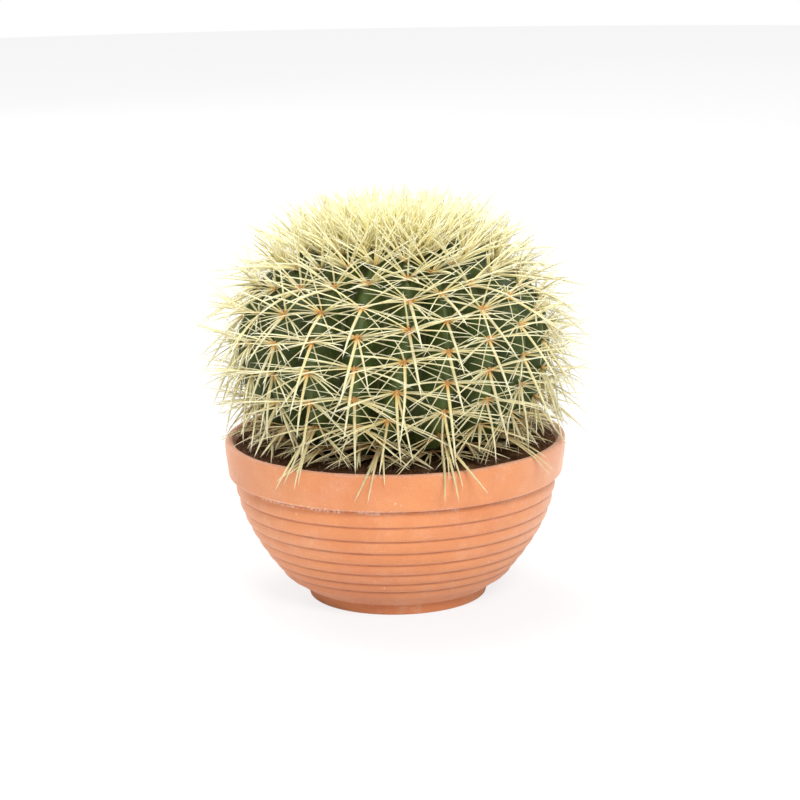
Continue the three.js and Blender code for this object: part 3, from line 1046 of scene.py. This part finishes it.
class CACTUS_OT_add_crown(bpy.types.Operator):
    """Closes the crown with a woolly cushion and a dense tuft of young spines"""

    bl_idname = "cactus.add_crown"
    bl_label = "Add crown"

    CUSHION = Vector((38, 38, 8)) * MM  # half sizes
    SUNK = 11 * MM  # how far its middle is under the crown
    SPREAD = 39 * MM  # radius of the tuft at its foot
    FALL = 8 * MM  # how much lower the tuft's foot is at its edge
    AREOLES = 84
    SPINES = 7  # to each

    def execute(self, context):
        sizes = context.scene.cactus_spines
        ribs = Ribs(context.scene.cactus_stem)
        top = ribs.sizes.waist + ribs.sizes.over
        bm = bmesh.new()
        age = bm.verts.layers.float.new("age")
        bmesh.ops.create_icosphere(bm, subdivisions=5, radius=1)
        for v in bm.verts:
            lumps = noise.fractal(v.co * 5, 0.8, 2.0, 4)
            v.co = v.co * (1 + 0.10 * lumps) * self.CUSHION + UP * (top - self.SUNK)
            v[age] = 0.1
        wool = felt_finish("crown_wool", sizes.felt, sizes.wool, 500)
        piece("crown_wool", bm, wool, ["crown_tuft"])
        self.tuft(sizes, top)
        return {"FINISHED"}

    def tuft(self, sizes, top):
        """Young spines in a sunflower spiral, upright in the middle and leaning out round it."""
        dice = random.Random(SEED + 9)
        blank = spine_blank()
        bm = layered(*SPINE_LAYERS)
        for i in range(self.AREOLES):
            azimuth = i * math.pi * (3 - math.sqrt(5))
            share = math.sqrt((i + 0.5) / self.AREOLES)
            r = self.SPREAD * share
            radial = outward(azimuth)
            seat = radial * r + UP * (top - 3 * MM - self.FALL * share ** 2)
            for _ in range(self.SPINES):
                spread = scattered(dice, 0.32)
                way = UP + radial * (0.1 + 0.7 * share) + spread
                way.z = max(way.z, 0.35)
                long = dice.uniform(0.62, 0.95) * sizes.radial
                width = dice.uniform(1.9, 3.1) * MM
                foot = seat + spread * 3 * MM
                spine = Spine(foot, way, long, width, -UP, dice.uniform(0, 0.12), dice.uniform(0, 0.12))
                spine.grow(bm, blank, dice.random())
        bpy.data.meshes.remove(blank)
        piece("crown_spines", bm, spine_finish(sizes))


# ---------------- studio


class CACTUS_OT_add_studio(bpy.types.Operator):
    """Sets up the pale floor, the soft lights and the camera"""

    bl_idname = "cactus.add_studio"
    bl_label = "Add studio"

    # Name, place, width in metres and power in watts
    LIGHTS = (
        ("key", (1.6, -5.7, 5.0), 2.7, 392),
        ("top", (-0.3, 0.6, 3.4), 2.0, 95),
        ("edge", (-1.5, 2.6, 1.2), 1.5, 38),
    )
    LIT = Vector((0, 0, 0.15))  # what the lights point at
    AMBIENT = 0.45  # light from the backdrop
    FLOOR = 5  # its radius

    def execute(self, context):
        scene, sizes = context.scene, context.scene.cactus_studio
        bm = bmesh.new()
        bmesh.ops.create_circle(bm, cap_ends=True, radius=self.FLOOR, segments=96)
        mesh = as_mesh("floor", bm)
        mesh.materials.append(paper_finish(sizes))
        floor = bpy.data.objects.new("floor", mesh)
        scene.collection.objects.link(floor)
        for light in self.LIGHTS:
            self.add_light(*light)
        self.add_world(scene)
        scene.view_settings.view_transform = "Standard"
        self.add_camera(scene, sizes)
        return {"FINISHED"}

    def add_world(self, scene):
        """A backdrop that looks white, and lights the object with less than that."""
        world = bpy.data.worlds.new("studio")
        world.use_nodes = True
        nodes, links = world.node_tree.nodes, world.node_tree.links
        light = nodes.new("ShaderNodeLightPath")
        strength = nodes.new("ShaderNodeMapRange")
        links.new(light.outputs["Is Camera Ray"], strength.inputs["Value"])
        strength.inputs["To Min"].default_value = self.AMBIENT
        links.new(strength.outputs[0], nodes["Background"].inputs["Strength"])
        nodes["Background"].inputs["Color"].default_value = (1, 1, 1, 1)
        scene.world = world

    def add_light(self, name, place, across, watts):
        light = bpy.data.lights.new(name, "AREA")
        light.shape, light.size, light.energy = "DISK", across, watts
        lamp = bpy.data.objects.new(name, light)
        lamp.location = place
        lamp.rotation_euler = (self.LIT - Vector(place)).to_track_quat("-Z", "Y").to_euler()
        bpy.context.scene.collection.objects.link(lamp)

    def add_camera(self, scene, sizes):
        lens = bpy.data.cameras.new("camera")
        lens.lens, lens.sensor_width = sizes.lens, 36
        lens.clip_end = 50
        camera = bpy.data.objects.new("camera", lens)
        aim, angle = Vector(sizes.aim), sizes.elevation
        camera.location = aim + Vector((0, -math.cos(angle), math.sin(angle))) * sizes.distance
        look = (aim - camera.location).to_track_quat("-Z", "Y").to_matrix()
        camera.rotation_euler = (look @ Matrix.Rotation(sizes.roll, 3, "Z")).to_euler()
        scene.collection.objects.link(camera)
        scene.camera = camera


# ---------------- add-on


STEPS = (
    CACTUS_OT_add_studio,
    CACTUS_OT_add_bowl,
    CACTUS_OT_add_soil,
    CACTUS_OT_add_stem,
    CACTUS_OT_add_felt,
    CACTUS_OT_add_spines,
    CACTUS_OT_add_crown,
)
GROUPS = {
    "cactus_bowl": BowlSizes,
    "cactus_soil": SoilSizes,
    "cactus_stem": StemSizes,
    "cactus_spines": SpineSizes,
    "cactus_studio": StudioSizes,
}


class CACTUS_PT_panel(bpy.types.Panel):
    """Lists the pieces' operators and their sizes and colours"""

    bl_label = "Cactus in a bowl"
    bl_space_type = "VIEW_3D"
    bl_region_type = "UI"
    bl_category = "Cactus"

    def draw(self, context):
        for step in STEPS:
            self.layout.operator(step.bl_idname)
        for name, group in GROUPS.items():
            box = self.layout.box()
            for field in group.__annotations__:
                box.prop(getattr(context.scene, name), field)


def register():
    for group in (*GROUPS.values(), *STEPS, CACTUS_PT_panel):
        bpy.utils.register_class(group)
    for name, group in GROUPS.items():
        setattr(bpy.types.Scene, name, PointerProperty(type=group))


def unregister():
    for name in GROUPS:
        delattr(bpy.types.Scene, name)
    for group in reversed((*GROUPS.values(), *STEPS, CACTUS_PT_panel)):
        bpy.utils.unregister_class(group)


def main():
    register()
    for step in STEPS:
        family, name = step.bl_idname.split(".")
        getattr(getattr(bpy.ops, family), name)()


if __name__ == "__main__":
    main()
